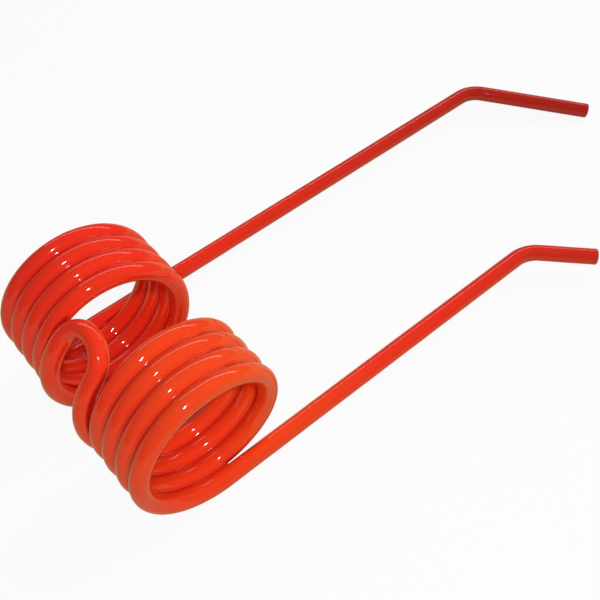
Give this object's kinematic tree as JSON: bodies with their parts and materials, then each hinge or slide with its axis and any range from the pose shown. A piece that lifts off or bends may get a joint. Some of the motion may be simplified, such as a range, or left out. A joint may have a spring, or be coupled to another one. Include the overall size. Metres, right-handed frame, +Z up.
{
  "type": "tedder tine",
  "caption": "Sprung hay tine bent from round wire: twin coils joined by a centre loop, with two unequal arms that end in cranked tips.",
  "frame": {"origin": "on the coils' common axis, midway between the two coils", "axes": "+Y along the coil axis to the coil of the longer arm (the left one), +X the way the arms reach, +Z up; the tine lies as on a level surface, on both coils and the end of the longer arm's tip"},
  "size_m": [0.4068, 0.1582, 0.0848],
  "materials": {
    "paint": "glossy orange-red dipped paint over spring wire"
  },
  "bodies": {
    "root": {"tine": "paint"}
  },
  "joints": []
}
